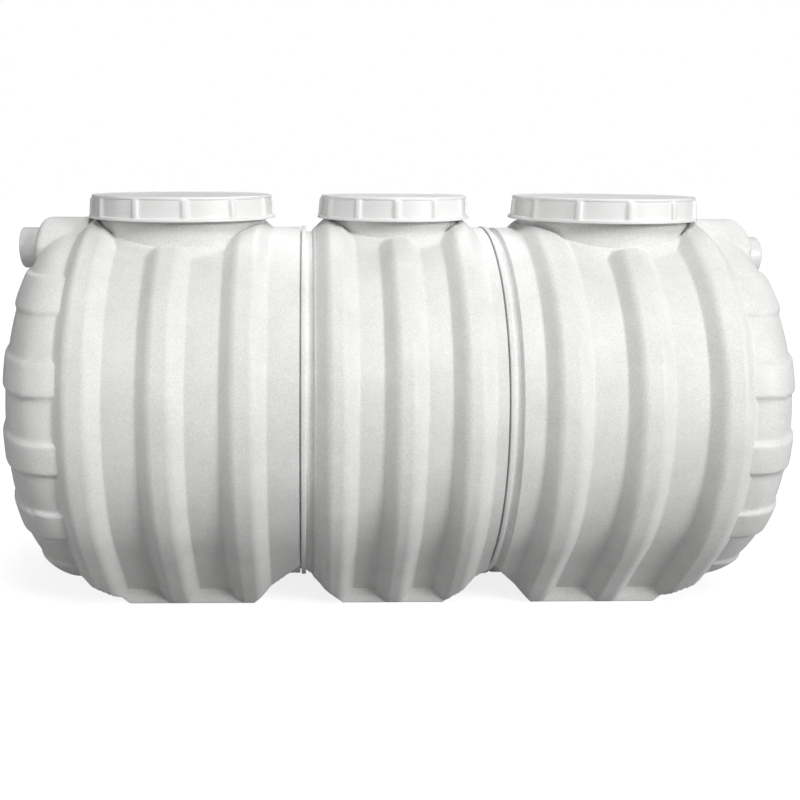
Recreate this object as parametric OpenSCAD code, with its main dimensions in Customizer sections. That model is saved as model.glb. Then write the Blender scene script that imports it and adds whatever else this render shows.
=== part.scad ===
// Three-section horizontal septic tank, blow-moulded, with screw-lid manholes.
// Millimetres. X runs from the inlet to the outlet, Z is up, the ground is z = 0.

/* [Tank body] */
// Outside radius of the plain wall between the ribs
wall_r = 490; // [440:5:540]
// Wall thickness of the moulded shells
wall_t = 8; // [6:0.5:10]
// Height of the tank's axis above the ground
axis_h = 512; // [505:1:520]
// Distance from the tank's centre to the end of the inlet section's plain wall
inlet_joint_x = 255; // [245:1:290]
// Distance from the tank's centre to the end of the middle section's plain wall
outlet_joint_x = 243; // [235:1:280]
// Distance from the tank's centre to the base of each dished end
end_x = 839; // [836:1:870]
// Depth of a dished end
end_depth = 192; // [160:1:220]
// Squareness of a dished end's profile
end_power = 2.35; // [2.2:0.05:2.8]

/* [Ribs] */
// Height of the ribs above the wall
rib_h = 28; // [20:1:34]
// Width of a rib's crest on the end sections
rib_crest = 52; // [40:1:60]
// Width of a rib's sloping flank, along the tank
rib_flank = 30; // [26:1:34]
// Spacing of the ribs on the end sections
rib_pitch = 195; // [180:0.5:196]
// Place of the middle rib of an end section
end_rib_x = 584; // [575:0.5:586]
// Width of a rib's crest on the middle section
mid_rib_crest = 42; // [34:1:48]
// Spacing of the ribs on the middle section
mid_rib_pitch = 163; // [150:0.5:164]

/* [Feet] */
// Half width of the flat underside of the feet
foot_half_w = 255; // [230:1:270]
// Height of the upright ledge around a foot
foot_ledge_h = 42; // [30:1:50]
// Where an end section's flat underside starts
foot_x_in = 380; // [370:1:410]
// Where an end section's flat underside ends
foot_x_out = 720; // [700:1:740]
// Half length of the middle section's flat underside
mid_foot_x = 138; // [120:1:150]
// Slope of the ends of the feet from the ground
foot_slope = 50; // [45:1:60]

/* [Joints between sections] */
// Gap between a plain wall end and the raised ring
groove_w = 4; // [2:0.5:6]
// Width of the raised ring
ring_w = 12; // [8:1:16]
// Height of the raised ring over the wall
ring_h = 3; // [2:0.5:8]
// Depth of the recessed spigot below the wall
spigot_drop = 12; // [10:0.5:14]
// Width of the recess between the ring and the next wall, with its sloping step
recess_w = 22; // [16:1:24]
// Width of the sloping step up from the recess
step_w = 6; // [4:0.5:8]
// Length of spigot inside the plain wall end
lap = 24; // [16:1:30]

/* [Dished end bands] */
// Height of the moulded bands above the recesses
band_h = 8; // [5:1:18]
// Spacing of the bands
band_pitch = 185; // [175:1:190]
// Width of a band
band_w = 84; // [60:1:95]
// Number of bands
band_count = 5; // [3:1:5]
// Height of the top band's middle above the axis
band_top_z = 345; // [340:1:355]

/* [Pipe ends] */
// Outside diameter of the pipe stubs
pipe_d = 110; // [110, 125]
// Wall of the pipe stubs
pipe_t = 3.2; // [3:0.1:5]
// Height of the inlet pipe's axis above the tank's axis
pipe_z = 432; // [428:1:440]
// How much lower the outlet pipe lies than the inlet pipe
outlet_drop = 20; // [10:1:30]
// How far a pipe stands out of its boss
pipe_out = 58; // [30:1:80]
// Height of the raised seat on a pipe that its seal grips
pipe_seat_h = 1; // [0.5:0.5:2]
// Thickness of the rubber seal around a pipe
pipe_seal_t = 3; // [2:0.5:4]
// Thickness of the seal's flange on a boss
pipe_flange_t = 3; // [2:0.5:5]
// How far the face of a boss stands out past the edge of its dished end
boss_out = 116; // [112:1:136]
// Half width of a boss at its lower edge
boss_half_w = 130; // [120:1:140]
// Top of a boss above the tank's axis
boss_top_z = 516; // [510:1:518]
// Lower edge of a boss's arched sides above the tank's axis
boss_side_z = 445; // [440:1:450]

/* [Manholes] */
// Distance from the tank's centre to the outer manholes
manhole_x = 575; // [568:1:580]
// Outside radius of an outer neck
neck_r = 225; // [215:1:230]
// Outside radius of the middle neck
mid_neck_r = 180; // [176:1:190]
// Wall of a neck
neck_t = 10; // [8:0.5:12]
// Height of a neck's rim above the tank's axis
neck_top_z = 565; // [560:1:570]
// Length of a neck below the inside of the wall
neck_under = 6; // [4:1:12]
// Height of a thread ring over the neck
thread_h = 6; // [4:0.5:7]
// Width of a thread ring
thread_w = 8; // [6:0.5:10]
// Sloping edge of a thread ring and of a lid's lip
thread_slope = 2; // [1:0.5:3]

/* [Lids] */
// Clearance between a thread ring and a lid's skirt
lid_gap = 6; // [5:0.5:8]
// Thickness of a lid's skirt
lid_t = 7; // [5:0.5:8]
// Thickness of a lid's top
lid_top_t = 9; // [6:0.5:12]
// Height of a lid's lower edge above the tank's axis
lid_low_z = 517; // [514:1:520]
// Height of a grip bar over the skirt
grip_h = 8; // [5:0.5:9]
// Width of a grip bar
grip_w = 16; // [10:1:22]
// Number of grip bars around a lid
grip_count = 12; // [8:1:16]
// Height of the lip along a lid's lower edge
lid_lip_h = 6; // [4:0.5:10]
// Rounding of a lid's upper edge
lid_round = 5; // [3:0.5:7]
// Thickness of a lid's seal
seal_t = 4; // [3:0.5:5]
// Width of a lid's seal
seal_w = 14; // [10:1:18]

/* [Hidden] */
$fn = 96;

plastic = "whitesmoke";
shade = "gainsboro";
rubber = "dimgray";

reach = 700;                        // longer than the tank's section in every direction
overcut = 1;                        // how far a cut runs past the face it opens
flank_angle = atan(rib_h / rib_flank);
crest_r = wall_r + rib_h;
spigot_r = wall_r - spigot_drop;
inner_r = wall_r - wall_t;
// The flared side of a foot is a plane set just inside the wall, so that it crosses it cleanly,
// and it meets the ground just inside the ledge
foot_inset = 3;
flare_in = 4;
flare_ease = 0.7;                    // a rib on a flare is this much wider at each side than on the wall
foot_corner = norm([foot_half_w - foot_inset, axis_h]);
flare_angle = atan2(axis_h, foot_half_w - foot_inset) - acos((crest_r - flare_in) / foot_corner);
end_ribs = [end_rib_x - rib_pitch, end_rib_x, end_rib_x + rib_pitch];
mid_ribs = [-mid_rib_pitch, 0, mid_rib_pitch];
joint_w = groove_w + ring_w + recess_w;
spigot_l = joint_w + lap;
step_angle = atan(spigot_drop / step_w);

// The two corners at each side of a rib, moved in by the wall t on the inner side
function rib_points(x, crest, t) =
    let (k = t * tan(flank_angle / 2), c = crest / 2 - k, b = crest / 2 + rib_flank - k)
    [[wall_r - t, x - b], [crest_r - t, x - c], [crest_r - t, x + c], [wall_r - t, x + b]];

// The spigot that plugs into the section before, up to the step at x
function spigot_points(x, t) =
    let (k = t * tan(step_angle / 2))
    [[spigot_r - t, x - spigot_l - (t > 0 ? overcut : 0)], [spigot_r - t, x - step_w + k], [wall_r - t, x + k]];

// Radius against place along a barrel, with its ribs and a spigot or a plain wall at its start
function barrel_line(x0, x1, ribs, crest, spigot, t) =
    concat(spigot ? spigot_points(x0, t) : [[wall_r - t, x0]],
           [for (x = ribs) each rib_points(x, crest, t)], [[wall_r - t, x1]]);

// Radius against depth of a dished end
function end_line(r, depth, x, steps = 14) =
    [for (i = [0:steps]) let (a = 90 * i / steps)
        [r * pow(cos(a), 2 / end_power), x + depth * pow(sin(a), 2 / end_power)]];

// Turns a radius-along-the-tank outline around the tank's axis
module around_axis(points) {
    rotate([0, 90, 0]) rotate_extrude($fn = 128) polygon(points);
}

// Fills from a radius-along-the-tank line down to the axis
module fill_to_axis(line) {
    around_axis(concat([[0, line[0][1]]], line, [[0, line[len(line) - 1][1]]]));
}

// Side view of a foot: a flat underside with sloping ends, brought in by the wall t
module foot_outline(x0, x1, t) {
    run = reach / tan(foot_slope);
    polygon([[x0 + t, t - axis_h], [x1 - t, t - axis_h],
             [x1 - t + run, t - axis_h + reach], [x0 + t - run, t - axis_h + reach]]);
}

// Cuts its children to the side view of a foot
module within_foot(x0, x1, t) {
    intersection() {
        children();
        rotate([90, 0, 0]) linear_extrude(2 * reach, center = true) foot_outline(x0, x1, t);
    }
}

// The flared side of a foot, towards +Y, with the ribs running straight down it
module flare(x0, x1, ribs, crest, t) {
    deep = wall_r / 2;
    outline = concat([[deep, x0]], barrel_line(x0, x1, ribs, crest + 2 * flare_ease, false, t), [[deep, x1]]);
    intersection() {
        rotate([180 - flare_angle, 0, 0]) translate([0, flare_in, 0])
            linear_extrude(reach) polygon([for (p = outline) [p[1], -p[0]]]);
        translate([x0, 0, t - axis_h]) cube([x1 - x0, reach, axis_h - t]);
    }
}

// Solid form of a foot: the flared sides and the upright ledge
module foot(x0, x1, f0, f1, ribs, crest, t) {
    within_foot(f0, f1, t) {
        for (side = [0, 1]) mirror([0, side, 0]) flare(x0, x1, ribs, crest, t);
        translate([x0, t - foot_half_w, t - axis_h])
            cube([x1 - x0, 2 * (foot_half_w - t), foot_ledge_h]);
    }
}

// Solid form of a barrel, from x0 to x1, with its ribs and foot
module barrel_form(x0, x1, f0, f1, ribs, crest, spigot, t) {
    intersection() {
        fill_to_axis(barrel_line(x0, x1, ribs, crest, spigot, t));
        translate([x0 - reach / 2, -reach, t - axis_h]) cube([x1 - x0 + reach, 2 * reach, 2 * reach]);
    }
    foot(x0, x1, f0, f1, ribs, crest, t);
}

// Thick lip at x that grips the next section's spigot
module socket_lip(x) {
    around_axis([[spigot_r, x - lap], [wall_r, x - lap], [wall_r, x + lap], [spigot_r, x + lap]]);
}

// Flat-sided layers that cut the bands of a dished end, from x outwards
module band_layers(x, t) {
    for (i = [0:band_count - 1])
        translate([x, -reach, band_top_z - i * band_pitch - band_w / 2 + t])
            cube([reach, 2 * reach, band_w - 2 * t]);
}

// Roots of the bands on the barrel, from the outermost rib's flank to the dished end
module band_roots() {
    x = end_rib_x + rib_pitch + rib_crest / 2 + rib_flank / 2;
    intersection() {
        around_axis([[inner_r, x], [wall_r + band_h, x], [wall_r + band_h, end_x], [inner_r, end_x]]);
        band_layers(x, 0);
    }
}

// Shell of an end section's barrel, on the outlet side, with a spigot or a socket at its inner end
module end_barrel(spigot) {
    x0 = spigot ? outlet_joint_x + joint_w : inlet_joint_x;
    difference() {
        union() {
            barrel_form(x0, end_x, foot_x_in, foot_x_out, end_ribs, rib_crest, spigot, 0);
            band_roots();
        }
        difference() {
            barrel_form(x0 - (spigot ? 0 : overcut), end_x + overcut, foot_x_in, foot_x_out, end_ribs,
                        rib_crest, spigot, wall_t);
            if (!spigot) socket_lip(x0);
        }
        translate([manhole_x, 0, 0]) cylinder(h = reach, r = neck_r);
    }
}

// Shell of the middle section: a spigot towards the inlet and a socket towards the outlet
module middle_shell() {
    x0 = joint_w - inlet_joint_x;
    difference() {
        barrel_form(x0, outlet_joint_x, -mid_foot_x, mid_foot_x, mid_ribs, mid_rib_crest, true, 0);
        difference() {
            barrel_form(x0, outlet_joint_x + overcut, -mid_foot_x, mid_foot_x, mid_ribs, mid_rib_crest,
                        true, wall_t);
            socket_lip(outlet_joint_x);
        }
        cylinder(h = reach, r = mid_neck_r);
    }
}

module inlet_half() { mirror([1, 0, 0]) children(); }

// Raised ring around the spigot; x is the side it starts from
module joint_ring(x) {
    around_axis([[spigot_r, x], [wall_r + ring_h, x], [wall_r + ring_h, x + ring_w], [spigot_r, x + ring_w]]);
}

// Solid form of a dished end with its bands; t is taken off all round
module end_form(t) {
    around_axis(concat([[0, end_x]], end_line(wall_r - t, end_depth - t, end_x)));
    intersection() {
        around_axis(concat([[0, end_x]], end_line(wall_r + band_h - t, end_depth + band_h - t, end_x)));
        band_layers(end_x, t);
    }
}

boss_x = end_x + boss_out;
boss_r = (pow(boss_half_w, 2) + pow(boss_top_z - boss_side_z, 2)) / (2 * (boss_top_z - boss_side_z));
boss_low_z = pipe_z - pipe_d / 2 - 3 * wall_t;
seat_r = pipe_d / 2 + pipe_seat_h;
seal_r = seat_r + pipe_seal_t;
flange_r = seal_r + pipe_seal_t;

// Arched boss that carries a pipe
module boss(t) {
    intersection() {
        translate([end_x + overcut, 0, boss_top_z - boss_r]) rotate([0, 90, 0])
            cylinder(h = boss_out - overcut - t, r = boss_r - t);
        translate([end_x, -boss_half_w + t, boss_low_z + t]) cube([reach, 2 * (boss_half_w - t), reach]);
    }
}

// Shell of a dished end; drop is how much lower its pipe lies than the inlet pipe
module dished_end(drop) {
    difference() {
        union() { end_form(0); boss(0); }
        difference() {
            union() { end_form(wall_t); boss(wall_t); }
            translate([end_x - overcut, -reach, -reach]) cube([overcut / 2, 2 * reach, 2 * reach]);
        }
        translate([end_x - overcut, 0, 0]) rotate([0, 90, 0]) cylinder(h = 2 * overcut, r = inner_r);
        pipe_place(drop) translate([0, 0, end_x]) cylinder(h = reach, r = seal_r);
        pipe_place(drop) translate([0, 0, boss_x]) cylinder(h = reach, r = flange_r + overcut);
    }
}

module pipe_place(drop) {
    translate([0, 0, pipe_z - drop]) rotate([0, 90, 0]) children();
}

// Pipe stub with the raised seat that its seal grips
module pipe_stub(drop) {
    pipe_place(drop) translate([0, 0, boss_x - 2 * wall_t]) difference() {
        union() {
            cylinder(h = pipe_out + 2 * wall_t, r = pipe_d / 2);
            cylinder(h = 2 * wall_t + pipe_flange_t, r = seat_r);
        }
        translate([0, 0, -overcut])
            cylinder(h = pipe_out + 2 * wall_t + 2 * overcut, r = pipe_d / 2 - pipe_t);
    }
}

// Rubber seal between a pipe and its boss, with a flange on the boss
module pipe_seal(drop) {
    pipe_place(drop) translate([0, 0, boss_x - wall_t]) difference() {
        union() {
            cylinder(h = wall_t + pipe_flange_t, r = seal_r);
            translate([0, 0, wall_t]) cylinder(h = pipe_flange_t, r = flange_r);
        }
        translate([0, 0, -overcut]) cylinder(h = wall_t + pipe_flange_t + 2 * overcut, r = seat_r);
    }
}

// Neck of a manhole: a tube from under the wall to the rim, with a thread ring
module neck(r) {
    low_z = sqrt(pow(inner_r, 2) - pow(r, 2)) - neck_under;
    thread_z = neck_top_z - 3 * thread_w;
    rotate_extrude() polygon([[r - neck_t, low_z], [r, low_z], [r, thread_z],
        [r + thread_h, thread_z + thread_slope], [r + thread_h, thread_z + thread_w - thread_slope],
        [r, thread_z + thread_w], [r, neck_top_z], [r - neck_t, neck_top_z]]);
}

// Screw lid over a neck of radius r, with grip bars around its skirt
module lid(r, turn) {
    skirt_in = r + thread_h + lid_gap;
    skirt = skirt_in + lid_t;
    top_z = neck_top_z + seal_t + lid_top_t;
    rotate_extrude() polygon(concat(
        [[0, top_z - lid_top_t], [skirt_in, top_z - lid_top_t], [skirt_in, lid_low_z],
         [skirt + grip_h, lid_low_z], [skirt + grip_h, lid_low_z + lid_lip_h],
         [skirt, lid_low_z + lid_lip_h + thread_slope]],
        [for (a = [0:15:90]) [skirt - lid_round * (1 - cos(a)), top_z - lid_round * (1 - sin(a))]],
        [[0, top_z]]));
    for (i = [0:grip_count - 1]) rotate(turn + i * 360 / grip_count) intersection() {
        translate([skirt - lid_t / 2, -grip_w / 2, lid_low_z + lid_lip_h / 2])
            cube([reach, grip_w, top_z - lid_round - lid_low_z - lid_lip_h / 2]);
        cylinder(h = reach, r = skirt + grip_h - thread_slope / 2);
    }
}

module lid_seal(r) {
    translate([0, 0, neck_top_z]) difference() {
        cylinder(h = seal_t, r = r);
        translate([0, 0, -overcut]) cylinder(h = seal_t + 2 * overcut, r = r - seal_w);
    }
}

module on_axis() { translate([0, 0, axis_h]) children(); }
module at_manhole(side) { translate([side * manhole_x, 0, axis_h]) children(); }

module inlet_end() { color(plastic) on_axis() inlet_half() dished_end(0); }
module outlet_end() { color(plastic) on_axis() dished_end(outlet_drop); }
module inlet_barrel() { color(plastic) on_axis() inlet_half() end_barrel(false); }
module middle_barrel() { color(plastic) on_axis() middle_shell(); }
module outlet_barrel() { color(plastic) on_axis() end_barrel(true); }
module inlet_joint_ring() { color(shade) on_axis() joint_ring(groove_w - inlet_joint_x); }
module outlet_joint_ring() { color(shade) on_axis() joint_ring(outlet_joint_x + groove_w); }
module inlet_neck() { color(shade) at_manhole(-1) neck(neck_r); }
module middle_neck() { color(shade) at_manhole(0) neck(mid_neck_r); }
module outlet_neck() { color(shade) at_manhole(1) neck(neck_r); }
module inlet_lid() { color(plastic) at_manhole(-1) lid(neck_r, 8); }
module middle_lid() { color(plastic) at_manhole(0) lid(mid_neck_r, 28); }
module outlet_lid() { color(plastic) at_manhole(1) lid(neck_r, 0); }
module inlet_lid_seal() { color(rubber) at_manhole(-1) lid_seal(neck_r); }
module middle_lid_seal() { color(rubber) at_manhole(0) lid_seal(mid_neck_r); }
module outlet_lid_seal() { color(rubber) at_manhole(1) lid_seal(neck_r); }
module inlet_pipe() { color(plastic) on_axis() inlet_half() pipe_stub(0); }
module outlet_pipe() { color(plastic) on_axis() pipe_stub(outlet_drop); }
module inlet_pipe_seal() { color(rubber) on_axis() inlet_half() pipe_seal(0); }
module outlet_pipe_seal() { color(rubber) on_axis() pipe_seal(outlet_drop); }

inlet_end();
inlet_barrel();
middle_barrel();
outlet_barrel();
outlet_end();
inlet_joint_ring();
outlet_joint_ring();
inlet_neck();
middle_neck();
outlet_neck();
inlet_lid();
middle_lid();
outlet_lid();
inlet_lid_seal();
middle_lid_seal();
outlet_lid_seal();
inlet_pipe();
outlet_pipe();
inlet_pipe_seal();
outlet_pipe_seal();
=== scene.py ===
"""Looks of the septic tank: moulded skins, lids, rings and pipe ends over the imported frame, in metres."""

import math

import bpy
import bmesh
import numpy as np
from mathutils import Matrix, Vector


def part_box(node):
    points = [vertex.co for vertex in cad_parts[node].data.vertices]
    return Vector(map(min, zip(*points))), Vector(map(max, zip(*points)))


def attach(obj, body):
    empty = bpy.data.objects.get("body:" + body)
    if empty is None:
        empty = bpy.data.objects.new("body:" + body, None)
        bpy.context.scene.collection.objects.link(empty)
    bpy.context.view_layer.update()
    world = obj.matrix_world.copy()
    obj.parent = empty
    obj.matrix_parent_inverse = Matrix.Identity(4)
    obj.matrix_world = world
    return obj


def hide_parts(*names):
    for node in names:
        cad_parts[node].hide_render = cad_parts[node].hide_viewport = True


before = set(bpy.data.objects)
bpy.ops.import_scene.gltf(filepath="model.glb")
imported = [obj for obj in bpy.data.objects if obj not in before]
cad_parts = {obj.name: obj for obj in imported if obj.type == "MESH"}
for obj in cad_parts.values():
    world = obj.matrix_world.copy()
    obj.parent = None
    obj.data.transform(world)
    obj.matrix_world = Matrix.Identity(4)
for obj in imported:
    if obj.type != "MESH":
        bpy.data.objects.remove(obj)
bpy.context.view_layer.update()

# ---------------------------------------------------------------- sizes, from the frame where it gives them

RING_LOW, RING_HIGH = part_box("inlet_joint_ring")
AXIS_Z = (RING_LOW.z + RING_HIGH.z) / 2
RING_RISE = 0.003
WALL_R = (RING_HIGH.y - RING_LOW.y) / 2 - RING_RISE
WALL_T = 0.008
SPIGOT_DROP = 0.012
CREST_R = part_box("middle_barrel")[1].y
RIB_RISE = CREST_R - WALL_R
RIB_FLANK = 0.030
END_CREST = 0.052
MID_CREST = 0.042
END_PITCH = 0.195
MID_PITCH = 0.163
CREST_ROUND = 0.011
TOE_ROUND = 0.003
END_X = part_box("outlet_end")[0].x
INLET_JOINT = -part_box("inlet_barrel")[1].x
OUTLET_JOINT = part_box("middle_barrel")[1].x
JOINT_W = 0.038
STEP_W = 0.006
LAP = 0.024
SPIGOT = WALL_R - SPIGOT_DROP
MANHOLE_X = sum(c.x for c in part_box("outlet_neck")) / 2
END_RIB_X = MANHOLE_X + 0.009
END_RIBS = [END_RIB_X + i * END_PITCH for i in (-1, 0, 1)]
MID_RIBS = [i * MID_PITCH for i in (-1, 0, 1)]

# a foot's place is where its flat underside starts and ends
FOOT_HALF_W = 0.255
FOOT_LEDGE = 0.042
END_FOOT = (0.380, 0.720)
MID_FOOT = (-0.138, 0.138)
FOOT_EDGE = 0.007
FOOT_SLOPE = math.tan(math.radians(49))
FOOT_SLOPE_OUT = math.tan(math.radians(41))
FLARE_ANGLE = math.atan2(AXIS_Z, FOOT_HALF_W) - math.acos(CREST_R / math.hypot(AXIS_Z, FOOT_HALF_W))

NECK_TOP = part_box("outlet_neck")[1].z
THREAD_RISE = 0.006
THREAD_LEAD = 0.014
NECK_R = {name: (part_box(name + "_neck")[1].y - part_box(name + "_neck")[0].y) / 2 - THREAD_RISE
          for name in ("inlet", "middle", "outlet")}
NECK_X = {"inlet": -MANHOLE_X, "middle": 0.0, "outlet": MANHOLE_X}
NECK_T = 0.010
COLLAR_RISE = 0.015
COLLAR_W = 0.020


# ---------------------------------------------------------------- small maths

def smooth_max(a, b, k):
    """The larger of a and b, rounded over k where they cross."""
    k = np.maximum(k, 1e-9)
    h = np.clip(0.5 + 0.5 * (a - b) / k, 0, 1)
    return b + (a - b) * h + k * h * (1 - h)


def smooth_min(a, b, k):
    """The smaller of a and b, rounded over k where they cross."""
    return -smooth_max(-a, -b, k)


def smooth_step(low, high, x):
    """0 at low and 1 at high, eased at both; low may be the larger of the two."""
    t = np.clip((x - low) / (high - low), 0, 1)
    return t * t * (3 - 2 * t)


def spread(start, stop, step):
    """Evenly spaced values from start to stop, about step apart."""
    return np.linspace(start, stop, max(2, int(round((stop - start) / step)) + 1))


# ---------------------------------------------------------------- meshes

def new_object(name, verts, faces, smooth_angle=40):
    """A smooth-shaded object whose edges stay sharp where they bend by more than smooth_angle degrees."""
    mesh = bpy.data.meshes.new(name)
    mesh.from_pydata(np.asarray(verts).tolist(), [], [list(map(int, f)) for f in faces])
    mesh.validate()
    obj = bpy.data.objects.new(name, mesh)
    bpy.context.scene.collection.objects.link(obj)
    mesh.shade_smooth()
    if smooth_angle < 180:
        mark_sharp(obj, smooth_angle)
    return obj


def mark_sharp(obj, angle):
    mesh = obj.data
    bm = bmesh.new()
    bm.from_mesh(mesh)
    limit = math.radians(angle)
    for edge in bm.edges:
        edge.smooth = len(edge.link_faces) != 2 or edge.calc_face_angle(0) < limit
    bm.to_mesh(mesh)
    bm.free()


def recalculated(obj, weld=False):
    """Turns the faces outward, after merging doubled points and closing holes where weld is set."""
    bm = bmesh.new()
    bm.from_mesh(obj.data)
    if weld:
        bmesh.ops.remove_doubles(bm, verts=bm.verts, dist=1e-5)
        bmesh.ops.holes_fill(bm, edges=bm.edges)
    bmesh.ops.recalc_face_normals(bm, faces=bm.faces)
    bm.to_mesh(obj.data)
    bm.free()
    return obj


def grid_faces(rows, cols, start=0, flip=False):
    """Quads over a rows x cols grid of points, joined round the columns."""
    i = np.arange(rows - 1)[:, None]
    j = np.arange(cols)[None, :]
    a = start + i * cols + j
    b = start + i * cols + (j + 1) % cols
    c = b + cols
    d = a + cols
    corners = (d, c, b, a) if flip else (a, b, c, d)
    return np.stack([np.broadcast_to(q, a.shape) for q in corners], -1).reshape(-1, 4)


def revolve(name, profile, turns, centre=(0, 0), sharp=40):
    """Turns a closed outline of (radius, z) about a vertical axis at centre."""
    profile = np.asarray(profile, float)
    angle = np.linspace(0, 2 * math.pi, turns, endpoint=False)
    x = centre[0] + profile[:, :1] * np.cos(angle)
    y = centre[1] + profile[:, :1] * np.sin(angle)
    z = np.broadcast_to(profile[:, 1:], x.shape)
    verts = np.stack([x, y, z], -1).reshape(-1, 3)
    last = (len(profile) - 1) * turns
    j = np.arange(turns)
    closing = np.stack([last + j, last + (j + 1) % turns, (j + 1) % turns, j], -1)
    return new_object(name, verts, np.vstack([grid_faces(len(profile), turns), closing]), sharp)


def lie_along_x(obj, z):
    """Turns a piece made about the Z axis to lie along +X at height z."""
    obj.data.transform(Matrix.Translation((0, 0, z)) @ Matrix.Rotation(math.pi / 2, 4, "Y"))
    return obj


def mirror_x(obj):
    """The piece swapped from the outlet's side to the inlet's."""
    obj.data.transform(Matrix.Scale(-1, 4, (1, 0, 0)))
    obj.data.flip_normals()
    return obj


def rounded(points, radius, steps=4):
    """A polyline with every inner corner replaced by an arc."""
    out = [points[0]]
    for before, corner, after in zip(points, points[1:], points[2:]):
        p = Vector(before) - Vector(corner)
        q = Vector(after) - Vector(corner)
        turn = p.angle(q)
        reach = min(radius / math.tan(turn / 2), p.length * 0.49, q.length * 0.49)
        a = Vector(corner) + p.normalized() * reach
        b = Vector(corner) + q.normalized() * reach
        for i in range(steps + 1):
            t = i / steps
            out.append(tuple(a.lerp(Vector(corner), t).lerp(Vector(corner).lerp(b, t), t)))
    return out + [points[-1]]


# ---------------------------------------------------------------- the moulded wall as a radius about the axis

def rib_rise(x, ribs, crest):
    """How far the ribs centred at the places in ribs stand out of the plain wall."""
    total = np.zeros_like(x)
    for c in ribs:
        ramp = (crest / 2 + RIB_FLANK - np.abs(x - c)) * RIB_RISE / RIB_FLANK
        total = np.maximum(total, smooth_max(smooth_min(ramp, RIB_RISE, CREST_ROUND), 0, TOE_ROUND))
    return total


def wall_radius(x, turn, ribs, crest, foot, neck_x, neck_r, steps, inset=0.0):
    """Radius of a barrel at place x and turn (0 towards +Y, a quarter turn up).

    steps is a list of (x, radius) that gives the plain wall along the barrel. The ribs fade out before the
    neck, where a collar rises instead.
    """
    side = np.abs(np.cos(turn))
    down = -np.sin(turn)
    plain = np.interp(x, [s[0] for s in steps], [s[1] for s in steps])
    away = np.hypot(x - neck_x, WALL_R * side)
    top = down < 0
    fade = np.where(top, smooth_step(neck_r - 0.008, neck_r + 0.007, away), 1.0)
    rise = rib_rise(x, ribs, crest) * fade
    collar = np.where(top, COLLAR_RISE * np.clip(1 - (away - neck_r) / COLLAR_W, 0, 1), 0)
    radius = plain + (rise ** 4 + collar ** 4) ** 0.25
    # the foot: flared sides, upright ledge, flat underside and sloping ends
    below = np.arctan2(down, side)
    flare = (plain + rise) / np.cos(np.clip(below - FLARE_ANGLE, 0, 1.3))
    wall_side = FOOT_HALF_W / np.maximum(side, 1e-6)
    over_ledge = np.clip((AXIS_Z - FOOT_LEDGE - wall_side * down) / 0.004, 0, 1)
    ledge = np.where(below > 0.5, wall_side - 0.030 * over_ledge, 0)
    outline = np.maximum(ledge, flare)
    out_slope = FOOT_SLOPE_OUT if foot[0] > 0 else FOOT_SLOPE
    climb = np.maximum(0, np.maximum((foot[0] - x) * FOOT_SLOPE, (x - foot[1]) * out_slope))
    under = (AXIS_Z - climb) / np.maximum(down, 1e-6)
    foot_radius = smooth_min(outline, np.where(down > 0.05, under, 9.0), FOOT_EDGE)
    radius = np.where(below > FLARE_ANGLE, np.maximum(radius, foot_radius), radius)
    radius = np.where(down > 0.05, np.minimum(radius, AXIS_Z / np.maximum(down, 1e-6)), radius)
    return radius - inset


def turns_around(fine):
    """Angles round the barrel, closer together down the foot's ledges and beside the manhole."""
    corner = math.degrees(math.atan2(AXIS_Z, FOOT_HALF_W)) + 0.5
    ledge = math.degrees(math.atan2(AXIS_Z - FOOT_LEDGE, FOOT_HALF_W)) - 0.6
    edges = [(-90, -corner, 2.0), (-corner, -ledge, 0.17), (-ledge, 55, 1.3), (55, 125, 0.8),
             (125, 180 + ledge, 1.3), (180 + ledge, 180 + corner, 0.17), (180 + corner, 270, 2.0)]
    coarse = 1 if fine else 3
    return np.radians(np.concatenate([spread(low, high, step * coarse)[:-1] for low, high, step in edges]))


def barrel(name, start, stop, ribs, crest, foot, neck_x, neck_r, steps, lip=0):
    """A barrel's outer and inner skin, with a hole where its manhole neck stands.

    lip is -1 or 1 for an end face at start or stop, and 0 for none.
    """
    verts, faces = [], []
    from_corner = [-0.012, -0.008, -0.004, 0, 0.004, 0.008, 0.012]
    from_corner += [RIB_FLANK + away for away in (-0.0035, -0.0015, 0, 0.0015, 0.0035)]
    for fine, inset in ((True, 0.0), (False, WALL_T)):
        offset = sum(map(len, verts))
        turn = turns_around(fine)
        x = spread(start, stop, 0.0052 if fine else 0.012)
        bends = [bend for place, _ in steps for bend in (place - 0.0012, place, place + 0.0012)]
        if fine:
            bends += [c + sign * (crest / 2 + away) for c in ribs for sign in (-1, 1) for away in from_corner]
        x = np.unique(np.concatenate([x, [bend for bend in bends if start < bend < stop]]))
        xx, tt = np.meshgrid(x, turn, indexing="ij")
        r = wall_radius(xx, tt, ribs, crest, foot, neck_x, neck_r, steps, inset)
        verts.append(np.stack([xx, r * np.cos(tt), AXIS_Z + r * np.sin(tt)], -1).reshape(-1, 3))
        quads = grid_faces(len(x), len(turn), offset, flip=not fine)
        mid = verts[-1][quads - offset].mean(1)
        hole = (np.hypot(mid[:, 0] - neck_x, mid[:, 1]) < neck_r - 0.005) & (mid[:, 2] > AXIS_Z)
        faces.append(quads[~hole])
        if fine and lip:
            # the wall's own end face, down to the spigot that plugs into it
            row = 0 if lip < 0 else len(x) - 1
            edge = verts[-1].reshape(len(x), len(turn), 3)[row]
            low = np.stack([edge[:, 0], SPIGOT * np.cos(turn), AXIS_Z + SPIGOT * np.sin(turn)], -1)
            faces.append(grid_faces(2, len(turn), offset + len(verts[-1]), flip=lip > 0))
            verts.append(np.stack([low, edge]).reshape(-1, 3))
    return new_object(name, np.vstack(verts), np.vstack(faces), 30)


# ---------------------------------------------------------------- dished ends

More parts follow.
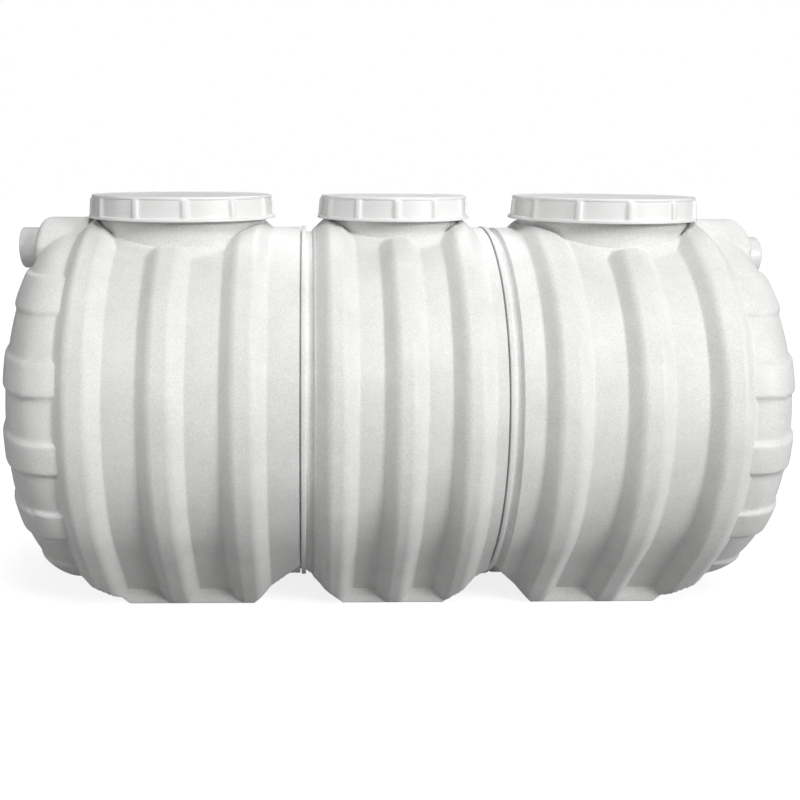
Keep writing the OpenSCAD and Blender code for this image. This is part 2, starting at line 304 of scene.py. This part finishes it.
BAND_RISE = 0.008
BAND_PITCH = 0.185
BAND_W = 0.084
BAND_TOP = 0.345
BANDS = 5
END_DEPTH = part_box("outlet_end")[1].x - END_X - BAND_RISE
END_POWER = 2.35
PIPE_OUT = 0.058
BOSS_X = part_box("outlet_pipe")[1].x - PIPE_OUT
BOSS_HALF_W = 0.130
BOSS_TOP = 0.516
BOSS_SIDE = 0.445
BOSS_R = (BOSS_HALF_W ** 2 + (BOSS_TOP - BOSS_SIDE) ** 2) / (2 * (BOSS_TOP - BOSS_SIDE))
PIPE_SEAT = 0.001
PIPE_R = (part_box("outlet_pipe")[1].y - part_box("outlet_pipe")[0].y) / 2 - PIPE_SEAT
PIPE_Z = {side: sum(c.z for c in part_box(side + "_pipe")) / 2 for side in ("inlet", "outlet")}
PIPE_FLANGE = 0.003
PIPE_T = 0.0032


def dome_points(radius, depth, rings, turns, x0):
    """Points of a dished end: rings of points from its base to its pole."""
    a = np.linspace(0, math.pi / 2, rings)[:, None]
    t = np.linspace(0, 2 * math.pi, turns, endpoint=False)[None, :]
    r = radius * np.cos(a) ** (2 / END_POWER)
    x = x0 + depth * np.sin(a) ** (2 / END_POWER)
    return np.stack([np.broadcast_to(x, (rings, turns)), r * np.cos(t), r * np.sin(t)], -1)


def band_share(z):
    """1 on the raised bands, 0 in the recesses between them."""
    share = np.zeros_like(z)
    for i in range(BANDS):
        middle = BAND_TOP - i * BAND_PITCH
        share = np.maximum(share, smooth_step(BAND_W / 2 + 0.002, BAND_W / 2 - 0.005, np.abs(z - middle)))
    return share


def dished_end(name):
    """The banded dome and the root that plugs in behind it, as one closed form."""
    turns, rings = 360, 90
    low = dome_points(WALL_R, END_DEPTH, rings, turns, END_X)
    high = dome_points(WALL_R + BAND_RISE, END_DEPTH + BAND_RISE, rings, turns, END_X)
    share = band_share(low[..., 2:])
    points = low + (high - low) * share
    # its root runs on under the outermost rib
    root = points[:1].copy()
    root[..., 1:] *= (WALL_R - 0.001 + (BAND_RISE + 0.001) * share[:1]) / (WALL_R + BAND_RISE * share[:1])
    root[..., 0] = END_X - 0.002
    base = root.copy()
    base[..., 0] = END_X - 0.045
    centre = base.copy()
    centre[..., 1:] *= 0.02
    points = np.concatenate([centre, base, root, points], 0)
    verts = points.reshape(-1, 3) + [0, 0, AXIS_Z]
    faces = grid_faces(points.shape[0], turns)
    return recalculated(new_object(name, verts, faces, 180), weld=True)


def arch_block(name, x0, x1, radius, half_w, centre_z, floor_z, taper):
    """Arched block lying along X, its far end drawn in by taper to round its edge."""
    arc = math.asin(half_w / radius)
    outline = [(radius * math.sin(t), centre_z + radius * math.cos(t)) for t in np.linspace(arc, -arc, 33)]
    outline += [(-half_w, floor_z), (half_w, floor_z)]
    outline = np.array(outline)
    middle = np.array([0, (centre_z + radius + floor_z) / 2])
    rings = [(x0, 0.0)] + [(x1 - taper * (1 - math.sin(t)), taper * (1 - math.cos(t)))
                           for t in np.linspace(0, math.pi / 2, 7)]
    span = np.abs(outline - middle).max(0)
    verts = []
    for x, inset in rings:
        scaled = middle + (outline - middle) * (1 - inset / span)
        verts += [(x, y, z) for y, z in scaled]
    n = len(outline)
    faces = [list(f) for f in grid_faces(len(rings), n)]
    faces += [list(range(n)), list(range((len(rings) - 1) * n, len(rings) * n))]
    return recalculated(new_object(name, verts, faces, 180))


def apply_modifiers(obj):
    """Replaces the object's mesh by what its modifiers make of it."""
    depsgraph = bpy.context.evaluated_depsgraph_get()
    mesh = bpy.data.meshes.new_from_object(obj.evaluated_get(depsgraph))
    obj.modifiers.clear()
    obj.data = mesh


def join(objects, name):
    """One object from several; the meshes stay as they are."""
    verts, faces, offset = [], [], 0
    for o in objects:
        verts += [tuple(v.co) for v in o.data.vertices]
        faces += [[offset + v for v in p.vertices] for p in o.data.polygons]
        offset = len(verts)
        bpy.data.objects.remove(o)
    return new_object(name, verts, faces, 180)


def moulded(obj, voxel, rounds):
    """Fuses overlapping closed forms into one skin with softly rounded edges."""
    remesh = obj.modifiers.new("fuse", "REMESH")
    remesh.mode = "VOXEL"
    remesh.voxel_size = voxel
    soften = obj.modifiers.new("soften", "SMOOTH")
    soften.factor = 0.5
    soften.iterations = rounds
    apply_modifiers(obj)
    obj.data.shade_smooth()
    return obj


def end_skins():
    """The two dished ends with their pipe bosses, each open at its base and round its own pipe."""
    dome = dished_end("dome")
    block = arch_block("block", END_X - 0.02, BOSS_X, BOSS_R, BOSS_HALF_W, AXIS_Z + BOSS_TOP - BOSS_R,
                       PIPE_Z["inlet"] - PIPE_R - 3 * WALL_T, 0.022)
    whole = moulded(join([dome, block], "whole"), 0.0040, 2)
    skins = {}
    for side in ("inlet", "outlet"):
        bm = bmesh.new()
        bm.from_mesh(whole.data)
        doomed = []
        for f in bm.faces:
            c = f.calc_center_median()
            in_base = f.normal.x < -0.6 and c.x < END_X - 0.030
            in_pipe = c.x > END_X + 0.06 and math.hypot(c.y, c.z - PIPE_Z[side]) < PIPE_R + 0.0005
            if in_base or in_pipe:
                doomed.append(f)
        bmesh.ops.delete(bm, geom=doomed, context="FACES")
        mesh = bpy.data.meshes.new(side + "_dished_end")
        bm.to_mesh(mesh)
        bm.free()
        skin = bpy.data.objects.new(side + "_dished_end", mesh)
        bpy.context.scene.collection.objects.link(skin)
        thin = skin.modifiers.new("thin", "DECIMATE")
        thin.ratio = 0.42
        thick = skin.modifiers.new("wall", "SOLIDIFY")
        thick.thickness = WALL_T
        thick.offset = -1
        apply_modifiers(skin)
        skin.data.shade_smooth()
        mark_sharp(skin, 55)
        skins[side] = skin
    bpy.data.objects.remove(whole)
    mirror_x(skins["inlet"])
    return skins


# ---------------------------------------------------------------- lids, necks, rings and pipes

LID_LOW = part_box("outlet_lid")[0].z
LID_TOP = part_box("outlet_lid")[1].z
LID_GAP = 0.006
LID_T = 0.007
LID_DRAFT = 0.0045
GRIP_RISE = 0.008
GRIP_W = 0.016
GRIP_SOFT = 0.004
GRIPS = 12


def lid(name, neck, turn):
    """Screw lid: flat top, drafted skirt with upright grip bars, and a lip along the lower edge."""
    inner = NECK_R[neck] + THREAD_RISE + LID_GAP
    skirt = inner + LID_T
    top_under = NECK_TOP + 0.004
    rim = skirt + 0.001
    path = rounded([(0.0, top_under), (inner, top_under), (inner + 0.0005, LID_LOW + 0.001),
                    (inner + 0.003, LID_LOW), (skirt + GRIP_RISE, LID_LOW),
                    (skirt + GRIP_RISE, LID_LOW + 0.006), (skirt + 0.0005, LID_LOW + 0.009)], 0.0012, 2)
    wall = [(skirt, z) for z in spread(LID_LOW + 0.012, LID_TOP - 0.010, 0.006)]
    panel = LID_TOP - 0.0015
    head = rounded([(skirt, LID_TOP - 0.008), (rim + 0.001, LID_TOP - 0.006), (rim + 0.0005, LID_TOP),
                    (rim - 0.010, LID_TOP), (rim - 0.014, panel), (0.06, panel)], 0.003, 3)
    head += [(0.0, panel)]
    profile = np.array(path + wall + head)
    # angles from one grip bar's middle: half of the panel, one side of the bar, its face, and so on
    step = 2 * math.pi / GRIPS
    half = GRIP_W / 2 / skirt
    soft = GRIP_SOFT / skirt
    local = np.concatenate([np.linspace(-step / 2, -half - soft, 7)[:-1],
                            np.linspace(-half - soft, -half + soft, 5),
                            np.linspace(-half + soft, half - soft, 3)[1:-1],
                            np.linspace(half - soft, half + soft, 5),
                            np.linspace(half + soft, step / 2, 7)[1:-1]])
    angle = np.concatenate([local + i * step for i in range(GRIPS)])
    bar = np.concatenate([smooth_step(half + soft, half - soft, np.abs(local))] * GRIPS)
    r = np.repeat(profile[:, :1], len(angle), 1)
    z = np.repeat(profile[:, 1:], len(angle), 1)
    outside = r > inner + 0.004
    on_skirt = smooth_step(LID_LOW + 0.006, LID_LOW + 0.010, z)
    on_skirt = on_skirt * smooth_step(LID_TOP - 0.004, LID_TOP - 0.012, z) * outside
    r = np.where(outside, r - LID_DRAFT * (z - LID_LOW) / (LID_TOP - LID_LOW), r)
    r = r + on_skirt * bar * (GRIP_RISE - 0.001)
    x = NECK_X[neck] + r * np.cos(angle + turn)
    y = r * np.sin(angle + turn)
    verts = np.stack([x, y, z], -1).reshape(-1, 3)
    return new_object(name, verts, grid_faces(len(profile), len(angle)), 35)


def neck(name, side):
    """Upright neck with a rounded rim and a raised screw thread that climbs round it."""
    r = NECK_R[side]
    foot_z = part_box(side + "_neck")[0].z
    low, high = NECK_TOP - 0.046, NECK_TOP - 0.006
    rim = rounded([(r - NECK_T, foot_z), (r - NECK_T, NECK_TOP), (r, NECK_TOP), (r, high)], 0.0025, 3)
    threaded = [(r, z) for z in spread(low - 0.004, high, 0.0018)[::-1]]
    profile = np.array(rim[:-1] + threaded + [(r, foot_z)])
    turns = 256
    angle = np.linspace(0, 2 * math.pi, turns, endpoint=False)
    rr = np.repeat(profile[:, :1], turns, 1)
    zz = np.repeat(profile[:, 1:], turns, 1)
    climb = (zz - low) / THREAD_LEAD - angle / (2 * math.pi)
    ridge = smooth_step(0.30, 0.12, np.abs(climb - np.round(climb)))
    ends = smooth_step(low, low + 0.006, zz) * smooth_step(high - 0.001, high - 0.006, zz)
    rr = rr + (rr > r - 0.001) * ridge * ends * (THREAD_RISE - 0.001)
    x = NECK_X[side] + rr * np.cos(angle)
    y = rr * np.sin(angle)
    verts = np.stack([x, y, zz], -1).reshape(-1, 3)
    faces = grid_faces(len(profile), turns, flip=True)
    last = (len(profile) - 1) * turns
    j = np.arange(turns)
    faces = np.vstack([faces, np.stack([last + (j + 1) % turns, last + j, j, (j + 1) % turns], -1)])
    return new_object(name, verts, faces, 50)


def joint_ring(name, node):
    """Rounded bead around the tank where two sections plug together."""
    low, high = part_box(node)
    outer = WALL_R + RING_RISE
    path = rounded([(SPIGOT, low.x), (outer, low.x), (outer, high.x), (SPIGOT, high.x)], 0.0035, 5)
    ring = revolve(name, [(r, x) for r, x in path], 256, sharp=60)
    return lie_along_x(ring, AXIS_Z)


def pipe(name, side):
    """Pipe stub with a bevelled mouth and a raised seat where its seal grips."""
    low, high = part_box("outlet_pipe")
    r = PIPE_R
    bore = r - PIPE_T
    seat = BOSS_X + PIPE_FLANGE - 0.0005
    path = [(bore, low.x), (bore, high.x - 0.001), (bore + 0.001, high.x), (r - 0.0015, high.x),
            (r, high.x - 0.0025), (r, seat), (r + PIPE_SEAT, seat), (r + PIPE_SEAT, low.x)]
    return lie_along_x(revolve(name, path, 128, sharp=60), PIPE_Z[side])


def pipe_seal(name, side):
    """Rubber sleeve between the stub and its boss, with a flange outside."""
    low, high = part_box("outlet_pipe_seal")
    inner = PIPE_R + PIPE_SEAT + 0.0002
    outer = (high.y - low.y) / 2
    sleeve = outer - 0.003
    flange_x = high.x - PIPE_FLANGE
    path = rounded([(inner, low.x), (sleeve, low.x), (sleeve, flange_x), (outer, flange_x),
                    (outer, high.x), (inner, high.x)], 0.0009, 2)
    return lie_along_x(revolve(name, path, 128, sharp=50), PIPE_Z[side])


def lid_seal(name, node):
    """Flat rubber ring under a lid's top."""
    low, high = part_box(node)
    centre = ((low.x + high.x) / 2, 0)
    outer = (high.x - low.x) / 2
    inner = outer - 0.014
    path = rounded([(inner, low.z), (outer, low.z), (outer, high.z), (inner, high.z)], 0.0012, 3)
    return revolve(name, path, 160, centre, 60)


# ---------------------------------------------------------------- materials

MOTTLE_SHARE = 0.3


def node_of(tree, kind, **values):
    """A new shader node with the given inputs or settings."""
    n = tree.nodes.new(kind)
    for key, value in values.items():
        if key in n.inputs:
            n.inputs[key].default_value = value
        else:
            setattr(n, key, value)
    return n


def plastic(name, light, dark, roughness, grain, wave=0.12):
    """Satin moulded plastic or rubber: faint mottling and specks between two colours, a fine orange-peel
    grain and slow moulding waves."""
    material = bpy.data.materials.new(name)
    material.use_nodes = True
    tree = material.node_tree
    shader = tree.nodes["Principled BSDF"]
    place = node_of(tree, "ShaderNodeTexCoord")
    link = tree.links.new
    mottle = node_of(tree, "ShaderNodeTexNoise", Scale=9.0, Detail=6.0, Roughness=0.62)
    specks = node_of(tree, "ShaderNodeTexNoise", Scale=300.0, Detail=3.0, Roughness=0.7)
    link(place.outputs["Object"], mottle.inputs["Vector"])
    link(place.outputs["Object"], specks.inputs["Vector"])
    clouds = node_of(tree, "ShaderNodeMath", operation="MULTIPLY")
    clouds.inputs[1].default_value = MOTTLE_SHARE
    link(mottle.outputs["Fac"], clouds.inputs[0])
    blend = node_of(tree, "ShaderNodeMath", operation="MULTIPLY_ADD")
    link(specks.outputs["Fac"], blend.inputs[0])
    blend.inputs[1].default_value = 1 - MOTTLE_SHARE
    link(clouds.outputs[0], blend.inputs[2])
    ramp = node_of(tree, "ShaderNodeValToRGB")
    ramp.color_ramp.elements[0].position = 0.39
    ramp.color_ramp.elements[0].color = (*dark, 1)
    ramp.color_ramp.elements[1].position = 0.61
    ramp.color_ramp.elements[1].color = (*light, 1)
    link(blend.outputs[0], ramp.inputs["Fac"])
    link(ramp.outputs["Color"], shader.inputs["Base Color"])
    gloss = node_of(tree, "ShaderNodeMapRange")
    gloss.inputs["To Min"].default_value = roughness - 0.06
    gloss.inputs["To Max"].default_value = roughness + 0.08
    link(mottle.outputs["Fac"], gloss.inputs["Value"])
    link(gloss.outputs["Result"], shader.inputs["Roughness"])
    fine = node_of(tree, "ShaderNodeTexNoise", Scale=420.0, Detail=2.0, Roughness=0.5)
    slow = node_of(tree, "ShaderNodeTexNoise", Scale=11.0, Detail=2.0, Roughness=0.45)
    link(place.outputs["Object"], fine.inputs["Vector"])
    link(place.outputs["Object"], slow.inputs["Vector"])
    bump_slow = node_of(tree, "ShaderNodeBump", Strength=wave, Distance=0.006)
    bump_fine = node_of(tree, "ShaderNodeBump", Strength=grain, Distance=0.0006)
    link(slow.outputs["Fac"], bump_slow.inputs["Height"])
    link(fine.outputs["Fac"], bump_fine.inputs["Height"])
    link(bump_slow.outputs["Normal"], bump_fine.inputs["Normal"])
    link(bump_fine.outputs["Normal"], shader.inputs["Normal"])
    return material


def dressed(obj, body, slot, material, *nodes):
    """Gives a piece its material, hangs it on its body's empty and hides the frame's nodes it stands for;
    slot is not used.
    """
    obj.data.materials.clear()
    obj.data.materials.append(material)
    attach(obj, body)
    if nodes:
        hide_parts(*nodes)
    return obj


WHITE = plastic("moulded_white", (0.86, 0.86, 0.85), (0.69, 0.69, 0.68), 0.50, 0.2)
LID_WHITE = plastic("lid_white", (0.88, 0.88, 0.875), (0.82, 0.82, 0.81), 0.36, 0.08, 0.12)
PIPE_WHITE = plastic("pipe_white", (0.78, 0.78, 0.77), (0.72, 0.72, 0.71), 0.32, 0.05, 0.05)
RUBBER = plastic("seal_rubber", (0.045, 0.045, 0.045), (0.03, 0.03, 0.03), 0.62, 0.15, 0.05)


# ---------------------------------------------------------------- the object

def spigot_steps(x):
    """Plain wall radius from the plugged-in end to just past the step at x."""
    return [(x - JOINT_W - LAP, SPIGOT), (x - STEP_W, SPIGOT), (x, WALL_R)]


def build_barrels():
    x0 = INLET_JOINT
    shell = barrel("inlet_section", x0, END_X, END_RIBS, END_CREST, END_FOOT, MANHOLE_X, NECK_R["inlet"],
                   [(0, WALL_R)], lip=-1)
    dressed(mirror_x(shell), "tank", "tank_wall", WHITE, "inlet_barrel")
    x0 = JOINT_W - INLET_JOINT
    shell = barrel("middle_section", x0 - JOINT_W - LAP, OUTLET_JOINT, MID_RIBS, MID_CREST, MID_FOOT, 0.0,
                   NECK_R["middle"], spigot_steps(x0), lip=1)
    dressed(shell, "tank", "tank_wall", WHITE, "middle_barrel")
    x0 = OUTLET_JOINT + JOINT_W
    shell = barrel("outlet_section", x0 - JOINT_W - LAP, END_X, END_RIBS, END_CREST, END_FOOT, MANHOLE_X,
                   NECK_R["outlet"], spigot_steps(x0))
    dressed(shell, "tank", "tank_wall", WHITE, "outlet_barrel")


def build_ends():
    for side, skin in end_skins().items():
        dressed(skin, "tank", "tank_wall", WHITE, side + "_end")


def build_fittings():
    # each lid is screwed down to a turn of its own, in degrees
    for side, turn in (("inlet", 8), ("middle", 28), ("outlet", 0)):
        cover = side + "_cover"
        dressed(neck(side + "_neck_skin", side), "tank", "neck", WHITE, side + "_neck")
        dressed(lid(side + "_screw_lid", side, math.radians(turn)), cover, "lid", LID_WHITE, side + "_lid")
        gasket = lid_seal(side + "_gasket", side + "_lid_seal")
        dressed(gasket, cover, "seal", RUBBER, side + "_lid_seal")
    for side in ("inlet", "outlet"):
        bead = joint_ring(side + "_bead", side + "_joint_ring")
        dressed(bead, "tank", "joint_ring", WHITE, side + "_joint_ring")
        for part, maker, slot, material in (("pipe", pipe, "pipe", PIPE_WHITE),
                                            ("pipe_seal", pipe_seal, "seal", RUBBER)):
            piece = maker(side + "_" + part + "_skin", side)
            if side == "inlet":
                mirror_x(piece)
            dressed(piece, "tank", slot, material, side + "_" + part)


# ---------------------------------------------------------------- studio

def backdrop_material():
    """Grey floor that the camera sees as white, with the object's shadow left on it."""
    material = bpy.data.materials.new("studio_floor")
    material.use_nodes = True
    tree = material.node_tree
    shader = tree.nodes["Principled BSDF"]
    shader.inputs["Base Color"].default_value = (0.32, 0.32, 0.32, 1)
    shader.inputs["Roughness"].default_value = 0.9
    out = tree.nodes["Material Output"]
    glow = node_of(tree, "ShaderNodeEmission")
    glow.inputs["Color"].default_value = (1, 1, 1, 1)
    # the glow is held back near the object, where the lamps make up for it and the shadow shows
    place = node_of(tree, "ShaderNodeTexCoord")
    away = node_of(tree, "ShaderNodeVectorMath", operation="LENGTH")
    held = node_of(tree, "ShaderNodeMapRange")
    held.inputs["From Min"].default_value = 1.0
    held.inputs["From Max"].default_value = 2.6
    held.inputs["To Min"].default_value = 0.84
    held.inputs["To Max"].default_value = 1.0
    tree.links.new(place.outputs["Object"], away.inputs[0])
    tree.links.new(away.outputs["Value"], held.inputs["Value"])
    tree.links.new(held.outputs["Result"], glow.inputs["Strength"])
    rays = node_of(tree, "ShaderNodeLightPath")
    lit = node_of(tree, "ShaderNodeAddShader")
    mix = node_of(tree, "ShaderNodeMixShader")
    tree.links.new(shader.outputs["BSDF"], lit.inputs[0])
    tree.links.new(glow.outputs["Emission"], lit.inputs[1])
    tree.links.new(rays.outputs["Is Camera Ray"], mix.inputs["Fac"])
    tree.links.new(shader.outputs["BSDF"], mix.inputs[1])
    tree.links.new(lit.outputs["Shader"], mix.inputs[2])
    tree.links.new(mix.outputs["Shader"], out.inputs["Surface"])
    return material


def studio():
    """White surroundings to the camera, a faint even light to the rest, and four soft lamps."""
    size, level = 30, -0.0005
    corners = [(-size, -size, level), (size, -size, level), (size, size, level), (-size, size, level)]
    floor = new_object("floor", corners, [(0, 1, 2, 3)])
    floor.data.materials.append(backdrop_material())
    world = bpy.data.worlds.new("studio")
    bpy.context.scene.world = world
    world.use_nodes = True
    tree = world.node_tree
    back = tree.nodes["Background"]
    back.inputs["Color"].default_value = (1, 1, 1, 1)
    rays = node_of(tree, "ShaderNodeLightPath")
    strength = node_of(tree, "ShaderNodeMapRange")
    strength.inputs["To Min"].default_value = 0.07
    strength.inputs["To Max"].default_value = 1.0
    tree.links.new(rays.outputs["Is Camera Ray"], strength.inputs["Value"])
    tree.links.new(strength.outputs["Result"], back.inputs["Strength"])
    lamp("key", (0.8, -3.4, 4.6), (-0.1, 0, 0.6), 2.0, 138)
    lamp("right", (7.4, -6.4, 4.2), (-0.2, 0, 0.6), 3.0, 540)
    lamp("left", (-5.0, -1.9, 2.4), (0, 0, 0.6), 3.0, 56)
    lamp("back", (0.3, 2.6, 4.4), (0, 0, 0.8), 2.4, 95)
    bpy.context.scene.view_settings.view_transform = "Standard"


def lamp(name, place, target, size, power):
    """A round soft lamp turned to its target."""
    data = bpy.data.lights.new(name, "AREA")
    data.shape = "DISK"
    data.size = size
    data.energy = power
    obj = bpy.data.objects.new(name, data)
    bpy.context.scene.collection.objects.link(obj)
    obj.location = place
    obj.rotation_euler = (Vector(target) - Vector(place)).to_track_quat("-Z", "Y").to_euler()


def camera():
    """The photograph's viewpoint: left of the middle and a little above, looking straight back and down."""
    data = bpy.data.cameras.new("camera")
    data.sensor_width = 36
    data.lens = 42.0
    data.shift_x = 0.0935
    data.shift_y = -0.0155
    obj = bpy.data.objects.new("camera", data)
    bpy.context.scene.collection.objects.link(obj)
    yaw, pitch, roll = 0.021, 0.237, 0.005
    forward = Vector((math.sin(yaw) * math.cos(pitch), math.cos(yaw) * math.cos(pitch), -math.sin(pitch)))
    right = Vector((math.cos(yaw), -math.sin(yaw), 0))
    up = right.cross(forward)
    right, up = (right * math.cos(roll) + up * math.sin(roll), up * math.cos(roll) - right * math.sin(roll))
    turn = Matrix((right, up, -forward)).transposed().to_4x4()
    obj.matrix_world = Matrix.Translation((-0.2385, -2.6065, AXIS_Z + 0.6644)) @ turn
    bpy.context.scene.camera = obj


camera()
build_barrels()
build_ends()
build_fittings()
studio()
